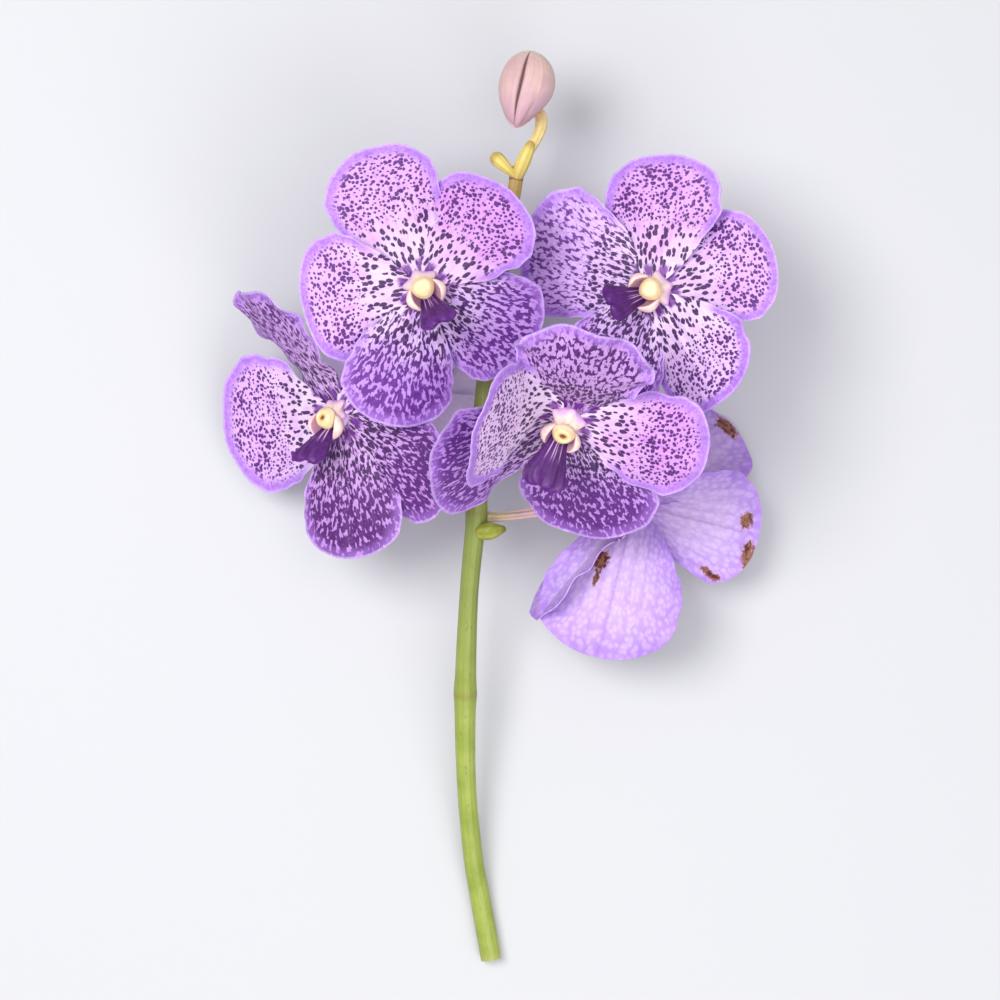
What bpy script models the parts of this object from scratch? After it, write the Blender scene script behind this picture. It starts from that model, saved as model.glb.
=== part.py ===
"""Cut vanda orchid: one flower stem with six open blooms and a bud, laid on its back.

All driving sizes are in millimetres and are turned into metres when the meshes are made.
The stem runs along +Y from its cut end and the blooms rise along +Z from the table.
Places are measured from the table under the cut end, and then moved so that the
origin is the middle of the footprint.
"""
import math

import bmesh
import bpy
from mathutils import Vector

MM = 0.001
FOOTPRINT_MIDDLE = Vector((2.15, 166.68, 0.0))

BLADE_THICKNESS = 1.0
BLADE_START = 2.0
BLADE_COLUMNS = 6
BLADE_ROWS = 8
BLADE_SWELL = 0.90
EDGE_WAVE = 1.1
BLADE_CUP = 2.6
PETAL_LIFT = 0.8
SEPAL_DROP = -0.8

HUB_RADIUS = 4.4
HUB_HALF_HEIGHT = 2.3
STALK_TOP_DEPTH = 7.6
STALK_RADIUS = 1.9
CONTACT_GAP = 0.6

STEM_SIDES = 12

# Each bloom: where its centre is, the way it faces, and the compass angle of its
# top sepal. Each blade: angle round the bloom, length, width, lean towards the
# front, backward curl, roll about its midrib, fullness at the base.
BLOOMS = {
    "upper_left": {
        "centre": (-23.4, 250.2, 85.0), "faces": (0.03, -0.03, 1.0), "top": 115.0,
        "node": (1.0, 222.0), "rise": 14.0,
        "blades": {
            "top_sepal": (88, 54, 43, -3, 10, 0, 0.30),
            "right_petal": (24, 46, 44, 2, 12, -12, 0.30),
            "left_petal": (163, 43, 48, 2, 14, -12, 0.30),
            "right_sepal": (-53, 45, 43, -8, 11, 14, 0.30),
            "left_sepal": (231, 50, 42, 0, 9, -13, 0.30)},
    },
    "upper_right": {
        "centre": (62.2, 249.9, 74.0), "faces": (-0.23, 0.01, 1.0), "top": 16.0,
        "node": (5.0, 256.0), "rise": -10.0,
        "blades": {
            "top_sepal": (91, 44, 42, -2, 12, -1, 0.30),
            "right_petal": (17, 47, 46, 8, 3, 30, 0.30),
            "left_petal": (160, 49, 46, 3, 12, -10, 0.30),
            "right_sepal": (-50, 50, 43, -8, 5, 0, 0.30),
            "left_sepal": (231, 55, 50, -5, 7, -16, 0.30)},
    },
    "front": {
        "centre": (29.1, 201.8, 94.0), "faces": (-0.20, -0.84, 1.0), "top": 67.0,
        "node": (-2.5, 196.0), "rise": 16.0,
        "blades": {
            "top_sepal": (101, 50, 50, 47, 56, 2, 0.30),
            "right_petal": (13, 51, 43, 14, 23, -7, 0.30),
            "left_petal": (166, 54, 49, 58, 0, 29, 0.30),
            "right_sepal": (-57, 58, 54, -17, -23, 11, 0.30),
            "left_sepal": (219, 56, 49, 36, -8, -14, 0.30)},
    },
    "left": {
        "centre": (-55.7, 204.1, 55.0), "faces": (-0.67, -0.09, 1.0), "top": 123.0,
        "node": (-4.5, 178.0), "rise": 6.0,
        "blades": {
            "top_sepal": (90, 59, 42, 23, -11, -38, 0.30),
            "right_petal": (20, 42, 36, -46, -5, 0, 0.30),
            "left_petal": (156, 57, 54, -19, -25, -7, 0.30),
            "right_sepal": (-63, 53, 41, -4, 2, 10, 0.30),
            "left_sepal": (247, 52, 42, 5, 10, -10, 0.30)},
    },
    "right_back": {
        "centre": (57.6, 170.2, 20.52), "faces": (0.12, -0.30, -1.0), "top": 64.0,
        "node": (-3.5, 166.0), "rise": -6.0,
        "blades": {
            "top_sepal": (106, 52, 44, 19, 2, 6, 0.30),
            "right_petal": (27, 42, 38, 0, 5, 0, 0.30),
            "left_petal": (165, 47, 44, 14, 8, 12, 0.30),
            "right_sepal": (-73, 57, 40, 4, 0, 58, 0.30),
            "left_sepal": (256, 60, 56, -4, -8, 6, 0.60)},
    },
    "middle_back": {
        "centre": (-20.2, 214.0, 17.2), "faces": (0.0, -0.22, -1.0), "top": 95.0,
        "node": (0.2, 234.5), "rise": 8.0,
        "blades": {
            "top_sepal": (90, 46, 40, 20, 16, 0, 0.30),
            "right_petal": (12, 44, 42, 6, 10, 0, 0.30),
            "left_petal": (168, 40, 40, 6, 10, 0, 0.30),
            "right_sepal": (-50, 44, 40, 6, 8, 0, 0.30),
            "left_sepal": (232, 40, 38, 6, 8, 0, 0.30)},
    },
}

LIP_START = 3.8
LIP_LENGTH = 22.0
LIP_WIDTH = 15.0
LIP_THICKNESS = 2.2
LIP_LEAN = 66.0
LIP_CURL = 30.0
# Lips that lean less, to stay above the table, and lips that stand askew with their flaps.
LIP_LEAN_OF = {"right_back": 54.0, "middle_back": 44.0}
LIP_TURN_OF = {"left": -35.0, "upper_right": 8.0}

# Middle line of the stem: across, along, above the table, radius.
STEM_LINE = [
    (1.4, -8.0, 3.864, 4.0), (-0.7, 4.0, 3.864, 4.0), (-2.0, 11.0, 3.864, 4.0), (-3.6, 20.0, 5.2, 3.9),
    (-5.8, 34.0, 9.4, 3.8), (-8.2, 63.0, 18.0, 3.7), (-8.5, 98.0, 27.0, 4.1),
    (-7.0, 136.0, 35.0, 3.6), (-4.0, 168.0, 41.0, 3.8), (-2.2, 200.0, 44.0, 3.5),
    (0.8, 230.0, 45.0, 3.3), (6.1, 265.0, 45.0, 3.0), (10.2, 289.0, 44.5, 2.6),
    (11.4, 298.0, 44.0, 2.9)]

BUD_CENTRE = (14.6, 327.5, 50.0)
BUD_LENGTH = 29.5
BUD_WIDTH = 21.5
BUD_DEPTH = 20.0
BUD_TILT = 10.0

STEM_GREEN = (0.36, 0.40, 0.10)
STALK_PINK = (0.62, 0.42, 0.45)
TEPAL_LILAC = (0.62, 0.40, 0.72)
LIP_VIOLET = (0.16, 0.03, 0.26)
COLUMN_CREAM = (0.86, 0.72, 0.60)
BUD_PINK = (0.76, 0.50, 0.52)
BUD_STALK_YELLOW = (0.72, 0.60, 0.24)


def clear_scene():
    for old in list(bpy.data.objects):
        bpy.data.objects.remove(old, do_unlink=True)


def make_material(name, colour, roughness):
    material = bpy.data.materials.new(name)
    material.use_nodes = True
    shader = material.node_tree.nodes["Principled BSDF"]
    shader.inputs["Base Color"].default_value = (*colour, 1.0)
    shader.inputs["Roughness"].default_value = roughness
    material.diffuse_color = (*colour, 1.0)
    return material


def add_object(name, bm, collection, material=None):
    mesh = bpy.data.meshes.new(name)
    bm.to_mesh(mesh)
    bm.free()
    item = bpy.data.objects.new(name, mesh)
    collection.objects.link(item)
    if material:
        mesh.materials.append(material)
    return item


def to_origin(point):
    """Turn a place in millimetres from the cut end into metres from the origin."""
    return (point - FOOTPRINT_MIDDLE) * MM


def smooth_step(value):
    value = max(0.0, min(1.0, value))
    return value * value * (3.0 - 2.0 * value)


def bloom_axes(bloom):
    """Return the bloom's centre and its right, up and forward directions."""
    forward = Vector(bloom["faces"]).normalized()
    angle = math.radians(bloom["top"])
    up = Vector((math.cos(angle), math.sin(angle), 0.0))
    up = (up - up.dot(forward) * forward).normalized()
    return Vector(bloom["centre"]), up.cross(forward), up, forward


def width_scale(claw):
    """Largest value of the blade's half width before it is scaled to size."""
    best = 0.0
    for step in range(1, 200):
        along = step / 200.0
        ring = math.sqrt(1.0 - (2.0 * along - 1.0) ** 2)
        best = max(best, ring * (claw + BLADE_SWELL * along ** 0.8))
    return best


def midrib(length, lean, curl):
    """Walk along a blade's middle line and list how far out and how high it runs."""
    steps = 40
    reach = BLADE_START
    height = 0.0
    line = [(reach, height)]
    for step in range(steps):
        along = (step + 0.5) / steps
        slope = math.radians(lean) * smooth_step(along / 0.25) - math.radians(curl) * along
        reach += length / steps * math.cos(slope)
        height += length / steps * math.sin(slope)
        line.append((reach, height))
    return line


def blade_point(spec, line, scale, lift, phase, u, v):
    """Place one grid point of a blade, in the frame of its bloom."""
    turn, length, width, lean, curl, roll, claw = spec
    across = u * math.sqrt(1.0 - v * v / 2.0)
    along = (1.0 + v * math.sqrt(1.0 - u * u / 2.0)) / 2.0
    half = across * width / 2.0 * (claw + BLADE_SWELL * along ** 0.8) / scale
    spot = along * (len(line) - 1)
    step = min(int(spot), len(line) - 2)
    reach, height = [a + (b - a) * (spot - step) for a, b in zip(line[step], line[step + 1])]
    slope = math.radians(lean) * smooth_step(along / 0.25) - math.radians(curl) * along
    wave = EDGE_WAVE * abs(across) ** 3 * smooth_step(along / 0.4)
    wave *= math.sin(14.0 * along + phase + math.copysign(1.3, across))
    raised = wave - BLADE_CUP * across * across * smooth_step(along / 0.5)
    turn = math.radians(turn)
    outward = Vector((math.cos(turn), math.sin(turn), 0.0))
    sideways = Vector((-math.sin(turn), math.cos(turn), 0.0))
    face = Vector((0.0, 0.0, math.cos(slope))) - math.sin(slope) * outward
    roll = math.radians(roll) * smooth_step(along / 0.35)
    rolled_side = math.cos(roll) * sideways + math.sin(roll) * face
    rolled_face = math.cos(roll) * face - math.sin(roll) * sideways
    point = reach * outward + half * rolled_side + raised * rolled_face
    return point + Vector((0.0, 0.0, height + lift))


def make_blade(name, spec, lift, phase, axes, collection):
    centre, right, up, forward = axes
    scale = width_scale(spec[6])
    line = midrib(spec[1], spec[3], spec[4])
    bm = bmesh.new()
    bmesh.ops.create_grid(bm, x_segments=BLADE_COLUMNS, y_segments=BLADE_ROWS, size=1.0)
    for vert in bm.verts:
        p = blade_point(spec, line, scale, lift, phase, vert.co.x, vert.co.y)
        vert.co = to_origin(centre + p.x * right + p.y * up + p.z * forward)
    bmesh.ops.triangulate(bm, faces=bm.faces[:])
    return thicken(add_object(name, bm, collection), BLADE_THICKNESS)


def thicken(item, thickness):
    """Give an open surface its thickness and keep the result as a plain mesh."""
    solid = item.modifiers.new("Thickness", "SOLIDIFY")
    solid.thickness = thickness * MM
    solid.offset = 0.0
    return bake(item)


def bake(item):
    """Apply the modifiers of an object to its mesh."""
    graph = bpy.context.evaluated_depsgraph_get()
    mesh = bpy.data.meshes.new_from_object(item.evaluated_get(graph))
    item.modifiers.clear()
    old = item.data
    item.data = mesh
    mesh.name = item.name
    bpy.data.meshes.remove(old)
    bm = bmesh.new()
    bm.from_mesh(mesh)
    bmesh.ops.remove_doubles(bm, verts=bm.verts[:], dist=0.00001)
    bmesh.ops.recalc_face_normals(bm, faces=bm.faces[:])
    bm.to_mesh(mesh)
    bm.free()
    return item


def join_solids(body, others, collection):
    """Join loose solids into the body with one union."""
    loose = bpy.data.collections.new("loose_" + body.name)
    collection.children.link(loose)
    for item in others:
        for owner in list(item.users_collection):
            owner.objects.unlink(item)
        loose.objects.link(item)
    join = body.modifiers.new("Join", "BOOLEAN")
    join.operation = "UNION"
    join.solver = "EXACT"
    join.operand_type = "COLLECTION"
    join.collection = loose
    bake(body)
    for item in others:
        bpy.data.objects.remove(item, do_unlink=True)
    bpy.data.collections.remove(loose)
    return body


def place(bm, axes, shape):
    """Move every vertex through a shape rule given in the frame of a bloom."""
    centre, right, up, forward = axes
    for vert in bm.verts:
        p = shape(vert.co)
        vert.co = to_origin(centre + p.x * right + p.y * up + p.z * forward)
    bmesh.ops.recalc_face_normals(bm, faces=bm.faces[:])


def make_round(name, axes, centre, radii, collection, material=None, segments=12, rings=8):
    bm = bmesh.new()
    bmesh.ops.create_uvsphere(bm, u_segments=segments, v_segments=rings, radius=1.0)
    middle = Vector(centre)
    place(bm, axes, lambda co: middle + Vector((co.x * radii[0], co.y * radii[1], co.z * radii[2])))
    return add_object(name, bm, collection, material)


def smooth_line(points, steps):
    """Run a smooth line through points that hold a place and a radius."""
    line = []
    for index in range(len(points) - 1):
        before = points[max(index - 1, 0)]
        start = points[index]
        end = points[index + 1]
        after = points[min(index + 2, len(points) - 1)]
        for step in range(steps):
            t = step / steps
            line.append([
                0.5 * (2.0 * b + (c - a) * t + (2.0 * a - 5.0 * b + 4.0 * c - d) * t * t
                       + (3.0 * b - a - 3.0 * c + d) * t ** 3)
                for a, b, c, d in zip(before, start, end, after)])
    line.append(list(points[-1]))
    return line


def make_tube(name, line, sides, collection, material=None):
    """Wrap a grid round a line of places and radii and close both ends."""
    count = len(line) - 1
    middles = [Vector(place_and_radius[:3]) for place_and_radius in line]
    bm = bmesh.new()
    bmesh.ops.create_grid(bm, x_segments=sides, y_segments=count, size=1.0)
    for vert in bm.verts:
        ring = round((vert.co.y + 1.0) / 2.0 * count)
        turn = 2.0 * math.pi * ((vert.co.x + 1.0) / 2.0 + 0.5 / sides)
        ahead = middles[min(ring + 1, count)] - middles[max(ring - 1, 0)]
        ahead.normalize()
        side = ahead.cross(Vector((0.0, 0.0, 1.0)))
        if side.length < 0.2:
            side = ahead.cross(Vector((1.0, 0.0, 0.0)))
        side.normalize()
        over = side.cross(ahead)
        radius = line[ring][3]
        offset = math.sin(turn) * radius * side - math.cos(turn) * radius * over
        vert.co = to_origin(middles[ring] + offset)
    bmesh.ops.remove_doubles(bm, verts=bm.verts[:], dist=0.00001)
    rims = [edge for edge in bm.edges if edge.is_boundary]
    bmesh.ops.holes_fill(bm, edges=rims, sides=0)
    bmesh.ops.recalc_face_normals(bm, faces=bm.faces[:])
    return add_object(name, bm, collection, material)


def make_bloom(name, bloom, seed, collection, materials):
    axes = bloom_axes(bloom)
    hub = make_round("tepals_" + name, axes, (0.0, 0.0, -0.4),
                     (HUB_RADIUS, HUB_RADIUS, HUB_HALF_HEIGHT), collection, materials["tepal"], 12, 6)
    neck = make_round("neck", axes, (0.0, 0.0, -3.2), (2.7, 2.7, 3.6), collection, None, 10, 6)
    blades = []
    for index, (part, spec) in enumerate(bloom["blades"].items()):
        lift = PETAL_LIFT if part.endswith("petal") else SEPAL_DROP
        phase = 1.7 * index + seed
        blades.append(make_blade(part, spec, lift, phase, axes, collection))
    join_solids(hub, blades + [neck], collection)
    make_column(name, axes, collection, materials["column"])
    make_lip(name, axes, collection, materials["lip"])
    make_stalk(name, bloom, axes, collection, materials["stalk"])


def turned_axes(name, axes):
    """A bloom's axes, turned about the way it faces where its lip stands askew."""
    centre, right, up, forward = axes
    turn = math.radians(LIP_TURN_OF.get(name, 0.0))
    return (centre, right * math.cos(turn) + up * math.sin(turn),
            up * math.cos(turn) - right * math.sin(turn), forward)


def make_column(name, axes, collection, material):
    """Column with its rounded cap and the two side flaps of the lip, cream."""
    column = make_round("column_" + name, axes, (0.0, 1.4, 5.8), (3.9, 3.9, 3.5), collection, material, 10, 6)
    cap = make_round("cap", axes, (0.0, 0.0, 8.0), (3.8, 3.7, 3.0), collection, None, 10, 6)
    askew = turned_axes(name, axes)
    flaps = []
    for side in (-1.0, 1.0):
        flap = make_round("flap", askew, (side * 4.7, -2.9, 6.4), (2.0, 3.9, 2.9), collection, None, 8, 6)
        flaps.append(flap)
    join_solids(column, [cap] + flaps, collection)


def lip_point(name, u, v):
    """Tongue of the lip: narrow at its root, broad at its end."""
    across = u * math.sqrt(1.0 - v * v / 2.0)
    along = (1.0 + v * math.sqrt(1.0 - u * u / 2.0)) / 2.0
    half = across * LIP_WIDTH / 2.0 * (0.40 + 0.62 * smooth_step(along / 0.95))
    lean = math.radians(LIP_LEAN_OF.get(name, LIP_LEAN))
    curl = math.radians(LIP_CURL)
    slope = lean - curl * along
    reach = LIP_START + LIP_LENGTH * (math.sin(lean) - math.sin(slope)) / curl
    height = 3.4 + LIP_LENGTH * (math.cos(slope) - math.cos(lean)) / curl
    height -= 1.6 * across * across * smooth_step(along / 0.5)
    return Vector((half, -reach, height))


def make_lip(name, axes, collection, material):
    centre, right, up, forward = turned_axes(name, axes)
    bm = bmesh.new()
    bmesh.ops.create_grid(bm, x_segments=4, y_segments=7, size=1.0)
    for vert in bm.verts:
        p = lip_point(name, vert.co.x, vert.co.y)
        vert.co = to_origin(centre + p.x * right + p.y * up + p.z * forward)
    bmesh.ops.triangulate(bm, faces=bm.faces[:])
    thicken(add_object("lip_" + name, bm, collection, material), LIP_THICKNESS)


def stem_at(along):
    """Middle and radius of the stem at a distance along +Y."""
    for start, end in zip(STEM_LINE, STEM_LINE[1:]):
        if start[1] <= along <= end[1]:
            t = (along - start[1]) / (end[1] - start[1])
            return Vector([a + (b - a) * t for a, b in zip(start[:3], end[:3])]), start[3] + (end[3] - start[3]) * t
    return Vector(STEM_LINE[-1][:3]), STEM_LINE[-1][3]


def make_stalk(name, bloom, axes, collection, material):
    """Stalk from just outside the stem to just behind the bloom."""
    centre, right, up, forward = axes
    middle, radius = stem_at(bloom["node"][1])
    top = centre - STALK_TOP_DEPTH * forward
    away = top - middle
    away.y = 0.0
    away.z += bloom["rise"]
    away.normalize()
    foot = middle + away * (radius + CONTACT_GAP)
    reach = 0.38 * (top - foot).length
    first = foot + away * reach
    second = top - forward * reach * 0.9
    line = []
    for step in range(11):
        t = step / 10.0
        p = ((1 - t) ** 3 * foot + 3 * (1 - t) ** 2 * t * first
             + 3 * (1 - t) * t * t * second + t ** 3 * top)
        line.append([p.x, p.y, p.z, STALK_RADIUS * (0.95 + 0.35 * t)])
    make_tube("stalk_" + name, line, 8, collection, material)


def make_bract(name, root, tip, width, collection):
    """Small pointed scale, thick enough to be one solid, sunk in the stem."""
    root = Vector(root)
    tip = Vector(tip)
    middle = (root + tip) / 2.0
    line = []
    for step in range(7):
        t = step / 6.0
        p = root.lerp(tip, t)
        p.z += 1.6 * math.sin(math.pi * t)
        radius = width / 2.0 * (0.35 + 0.65 * math.sin(math.pi * min(1.0, 0.25 + 0.72 * t)))
        line.append([p.x, p.y, p.z, radius])
    return make_tube(name, line, 8, collection)


def make_stem(collection, material):
    line = smooth_line(STEM_LINE, 2)
    for ring in line:
        ring[2] = max(ring[2], STEM_LINE[0][2])
    stem = make_tube("flower_stem", line, STEM_SIDES, collection, material)
    scales = [
        make_bract("low_scale", (-2.5, 160.3, 42.6), (6.0, 161.5, 43.0), 6.6, collection),
        make_bract("bud_scale_right", (11.6, 295.5, 45.4), (16.4, 307.5, 48.0), 5.2, collection),
        make_bract("bud_scale_left", (10.8, 295.0, 45.2), (2.4, 303.0, 45.6), 4.8, collection)]
    join_solids(stem, scales, collection)


def make_bud(collection, materials):
    """Closed bud with three soft grooves, its tip bent down beside its stalk."""
    tilt = math.radians(BUD_TILT)
    bm = bmesh.new()
    bmesh.ops.create_uvsphere(bm, u_segments=18, v_segments=10, radius=1.0)
    for vert in bm.verts:
        x, y, z = vert.co
        # The sphere's poles become the tip and the crown of the bud.
        groove = 1.0 - 0.06 * (1.0 - z * z) * max(0.0, math.cos(3.0 * math.atan2(y, x))) ** 4
        narrow = 1.0 - 0.22 * max(0.0, -z) ** 2
        p = Vector((x * BUD_WIDTH / 2.0 * groove * narrow, z * BUD_LENGTH / 2.0,
                    -y * BUD_DEPTH / 2.0 * groove * narrow))
        turned = Vector((p.x * math.cos(tilt) + p.y * math.sin(tilt),
                         p.y * math.cos(tilt) - p.x * math.sin(tilt), p.z))
        vert.co = to_origin(Vector(BUD_CENTRE) + turned)
    bmesh.ops.recalc_face_normals(bm, faces=bm.faces[:])
    add_object("bud", bm, collection, materials["bud"])
    line = smooth_line([
        (12.0, 299.0, 42.6, 2.1), (14.0, 303.0, 40.6, 2.0), (17.4, 308.0, 38.0, 2.1),
        (20.2, 314.0, 36.4, 2.3), (20.6, 318.4, 38.4, 2.3), (18.9, 320.6, 42.4, 2.1)], 3)
    make_tube("bud_stalk", line, 8, collection, materials["bud_stalk"])


def main():
    clear_scene()
    collection = bpy.data.collections.new("cut_vanda_orchid")
    bpy.context.scene.collection.children.link(collection)
    materials = {
        "tepal": make_material("tepal_lilac", TEPAL_LILAC, 0.5),
        "lip": make_material("lip_violet", LIP_VIOLET, 0.4),
        "column": make_material("column_cream", COLUMN_CREAM, 0.45),
        "stalk": make_material("stalk_pink", STALK_PINK, 0.5),
        "bud": make_material("bud_pink", BUD_PINK, 0.5),
        "bud_stalk": make_material("bud_stalk_yellow", BUD_STALK_YELLOW, 0.5),
        "stem": make_material("stem_green", STEM_GREEN, 0.45)}
    make_stem(collection, materials["stem"])
    for seed, (name, bloom) in enumerate(BLOOMS.items()):
        make_bloom(name, bloom, seed, collection, materials)
    make_bud(collection, materials)


main()
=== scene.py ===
"""Look of the cut vanda orchid: waved petals with procedural spots, lips, columns, stem and bud."""
import math

import bmesh
import bpy
import numpy as np
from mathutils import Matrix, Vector


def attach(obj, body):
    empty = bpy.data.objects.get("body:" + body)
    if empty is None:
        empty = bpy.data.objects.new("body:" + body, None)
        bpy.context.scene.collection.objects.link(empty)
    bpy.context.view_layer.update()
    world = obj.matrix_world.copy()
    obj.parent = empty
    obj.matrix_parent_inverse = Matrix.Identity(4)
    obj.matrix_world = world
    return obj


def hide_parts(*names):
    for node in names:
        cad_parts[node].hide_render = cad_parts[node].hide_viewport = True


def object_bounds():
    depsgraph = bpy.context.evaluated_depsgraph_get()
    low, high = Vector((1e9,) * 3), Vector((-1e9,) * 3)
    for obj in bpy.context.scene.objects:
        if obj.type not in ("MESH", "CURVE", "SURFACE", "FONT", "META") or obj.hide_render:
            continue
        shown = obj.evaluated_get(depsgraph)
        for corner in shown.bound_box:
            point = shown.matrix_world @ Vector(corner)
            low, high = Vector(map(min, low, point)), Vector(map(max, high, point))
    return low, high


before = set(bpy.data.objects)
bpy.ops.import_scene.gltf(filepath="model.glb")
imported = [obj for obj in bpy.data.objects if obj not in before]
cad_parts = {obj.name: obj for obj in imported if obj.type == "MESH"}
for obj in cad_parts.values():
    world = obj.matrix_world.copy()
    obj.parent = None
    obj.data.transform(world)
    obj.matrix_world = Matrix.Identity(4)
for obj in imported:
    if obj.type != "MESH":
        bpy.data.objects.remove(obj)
CAD_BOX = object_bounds()

MM = 0.001
FOOTPRINT_MIDDLE = np.array((2.15, 166.68, 0.0))

# Blade shape, the same rule and values as the solids behind it.
BLADE_THICKNESS = 1.0
BLADE_START = 2.0
BLADE_SWELL = 0.90
BLADE_CUP = 2.6
EDGE_WAVE = 1.1
PETAL_LIFT = 0.8
SEPAL_DROP = -0.8
GRID_ACROSS = 56
GRID_ALONG = 68

HUB_RADIUS = 4.4
HUB_HALF_HEIGHT = 2.3
STALK_TOP_DEPTH = 7.6
STALK_RADIUS = 1.9
CONTACT_GAP = 0.6

# Where each bloom is, the way it faces and where its top sepal points. Each blade:
# angle, length, width, lean to the front, backward curl, roll, fullness at the base.
BLOOMS = {
    "upper_left": {
        "centre": (-23.4, 250.2, 85.0), "faces": (0.03, -0.03, 1.0), "top": 115.0,
        "node": (1.0, 222.0), "rise": 14.0,
        "blades": {
            "top_sepal": (88, 54, 43, -3, 10, 0, 0.30),
            "right_petal": (24, 46, 44, 2, 12, -12, 0.30),
            "left_petal": (163, 43, 48, 2, 14, -12, 0.30),
            "right_sepal": (-53, 45, 43, -8, 11, 14, 0.30),
            "left_sepal": (231, 50, 42, 0, 9, -13, 0.30)},
    },
    "upper_right": {
        "centre": (62.2, 249.9, 74.0), "faces": (-0.23, 0.01, 1.0), "top": 16.0,
        "node": (5.0, 256.0), "rise": -10.0,
        "blades": {
            "top_sepal": (91, 44, 42, -2, 12, -1, 0.30),
            "right_petal": (17, 47, 46, 8, 3, 30, 0.30),
            "left_petal": (160, 49, 46, 3, 12, -10, 0.30),
            "right_sepal": (-50, 50, 43, -8, 5, 0, 0.30),
            "left_sepal": (231, 55, 50, -5, 7, -16, 0.30)},
    },
    "front": {
        "centre": (29.1, 201.8, 94.0), "faces": (-0.20, -0.84, 1.0), "top": 67.0,
        "node": (-2.5, 196.0), "rise": 16.0,
        "blades": {
            "top_sepal": (101, 50, 50, 47, 56, 2, 0.30),
            "right_petal": (13, 51, 43, 14, 23, -7, 0.30),
            "left_petal": (166, 54, 49, 58, 0, 29, 0.30),
            "right_sepal": (-57, 58, 54, -17, -23, 11, 0.30),
            "left_sepal": (219, 56, 49, 36, -8, -14, 0.30)},
    },
    "left": {
        "centre": (-55.7, 204.1, 55.0), "faces": (-0.67, -0.09, 1.0), "top": 123.0,
        "node": (-4.5, 178.0), "rise": 6.0,
        "blades": {
            "top_sepal": (90, 59, 42, 23, -11, -38, 0.30),
            "right_petal": (20, 42, 36, -46, -5, 0, 0.30),
            "left_petal": (156, 57, 54, -19, -25, -7, 0.30),
            "right_sepal": (-63, 53, 41, -4, 2, 10, 0.30),
            "left_sepal": (247, 52, 42, 5, 10, -10, 0.30)},
    },
    "right_back": {
        "centre": (57.6, 170.2, 20.52), "faces": (0.12, -0.30, -1.0), "top": 64.0,
        "node": (-3.5, 166.0), "rise": -6.0,
        "blades": {
            "top_sepal": (106, 52, 44, 19, 2, 6, 0.30),
            "right_petal": (27, 42, 38, 0, 5, 0, 0.30),
            "left_petal": (165, 47, 44, 14, 8, 12, 0.30),
            "right_sepal": (-75, 57, 33, 4, 0, 58, 0.30),
            "left_sepal": (256, 60, 56, -4, -8, 6, 0.60)},
    },
    "middle_back": {
        "centre": (-20.2, 214.0, 17.2), "faces": (0.0, -0.22, -1.0), "top": 95.0,
        "node": (0.2, 234.5), "rise": 8.0,
        "blades": {
            "top_sepal": (90, 46, 40, 20, 16, 0, 0.30),
            "right_petal": (12, 44, 42, 6, 10, 0, 0.30),
            "left_petal": (168, 40, 40, 6, 10, 0, 0.30),
            "right_sepal": (-50, 44, 40, 6, 8, 0, 0.30),
            "left_sepal": (232, 40, 38, 6, 8, 0, 0.30)},
    },
}

# How far the deep purple reaches on a blade: 0 is spots on a pale ground, 1 is purple with
# flecks, and below 0 the ground is paler still.
DEPTH = {"top_sepal": 0.12, "right_petal": 0.0, "left_petal": 0.0, "right_sepal": 0.8, "left_sepal": 0.8}
DEPTH_OF = {
    ("front", "right_sepal"): 1.0, ("front", "left_sepal"): 0.85, ("left", "left_sepal"): 1.0,
    ("left", "right_sepal"): 1.0, ("upper_right", "left_sepal"): 0.38, ("upper_left", "right_sepal"): 0.65,
    ("left", "top_sepal"): 0.62, ("front", "top_sepal"): 0.50, ("front", "right_petal"): 0.1,
    ("upper_right", "right_petal"): -0.26, ("front", "left_petal"): -0.34}

# Blades with a rosier ground. Below 0 the back is painted paler instead, as painted light on backs that lie in shade.
BLUSH_OF = {
    ("upper_left", "right_petal"): 1.0, ("upper_left", "top_sepal"): 0.3, ("front", "top_sepal"): 1.0,
    ("front", "left_petal"): 0.4, ("front", "right_petal"): 0.9, ("upper_right", "left_petal"): 0.6,
    ("left", "top_sepal"): 0.8, ("left", "left_sepal"): 1.0, ("left", "right_sepal"): 0.8,
    ("front", "right_sepal"): 0.5, ("front", "left_sepal"): 0.4}

# Brown marks: blade, place across and along it, size across and along.
SCARS = {
    ("right_back", "left_sepal"): [(0.34, 0.37, 0.13, 0.07), (0.30, 0.49, 0.04, 0.06)],
    ("right_back", "left_petal"): [(-0.17, 0.87, 0.12, 0.05), (0.30, 0.94, 0.20, 0.05), (0.80, 0.67, 0.07, 0.09)],
    ("right_back", "top_sepal"): [(0.03, 0.95, 0.20, 0.05)]}

# Height of the ruffles on an edge, in mm, where they are stronger than 0.6.
FRILL_OF = {
    ("front", "top_sepal"): 2.2, ("upper_left", "top_sepal"): 1.1, ("upper_left", "right_petal"): 1.2,
    ("left", "top_sepal"): 1.2, ("upper_right", "left_sepal"): 1.0, ("front", "right_petal"): 1.0}

LIP_START = 3.8
LIP_LENGTH = 23.5
LIP_WIDTH = 17.0
LIP_THICKNESS = 2.0
LIP_LEAN = 67.0
LIP_CURL = 30.0
# Lips that lean less, to stay above the table, and lips that stand askew with their ears.
LIP_LEAN_OF = {"right_back": 54.0, "middle_back": 44.0}
LIP_TURN_OF = {"left": -35.0, "upper_right": 8.0}
LIP_SIZE_OF = {"upper_left": 0.86, "upper_right": 0.88, "left": 0.92}
# How open the hollow in the cap of a column looks, and how strong the painted shade in it is.
HOLLOW_OF = {"front": 1.0, "left": 0.9, "upper_right": 0.25, "upper_left": 0.12}

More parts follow.
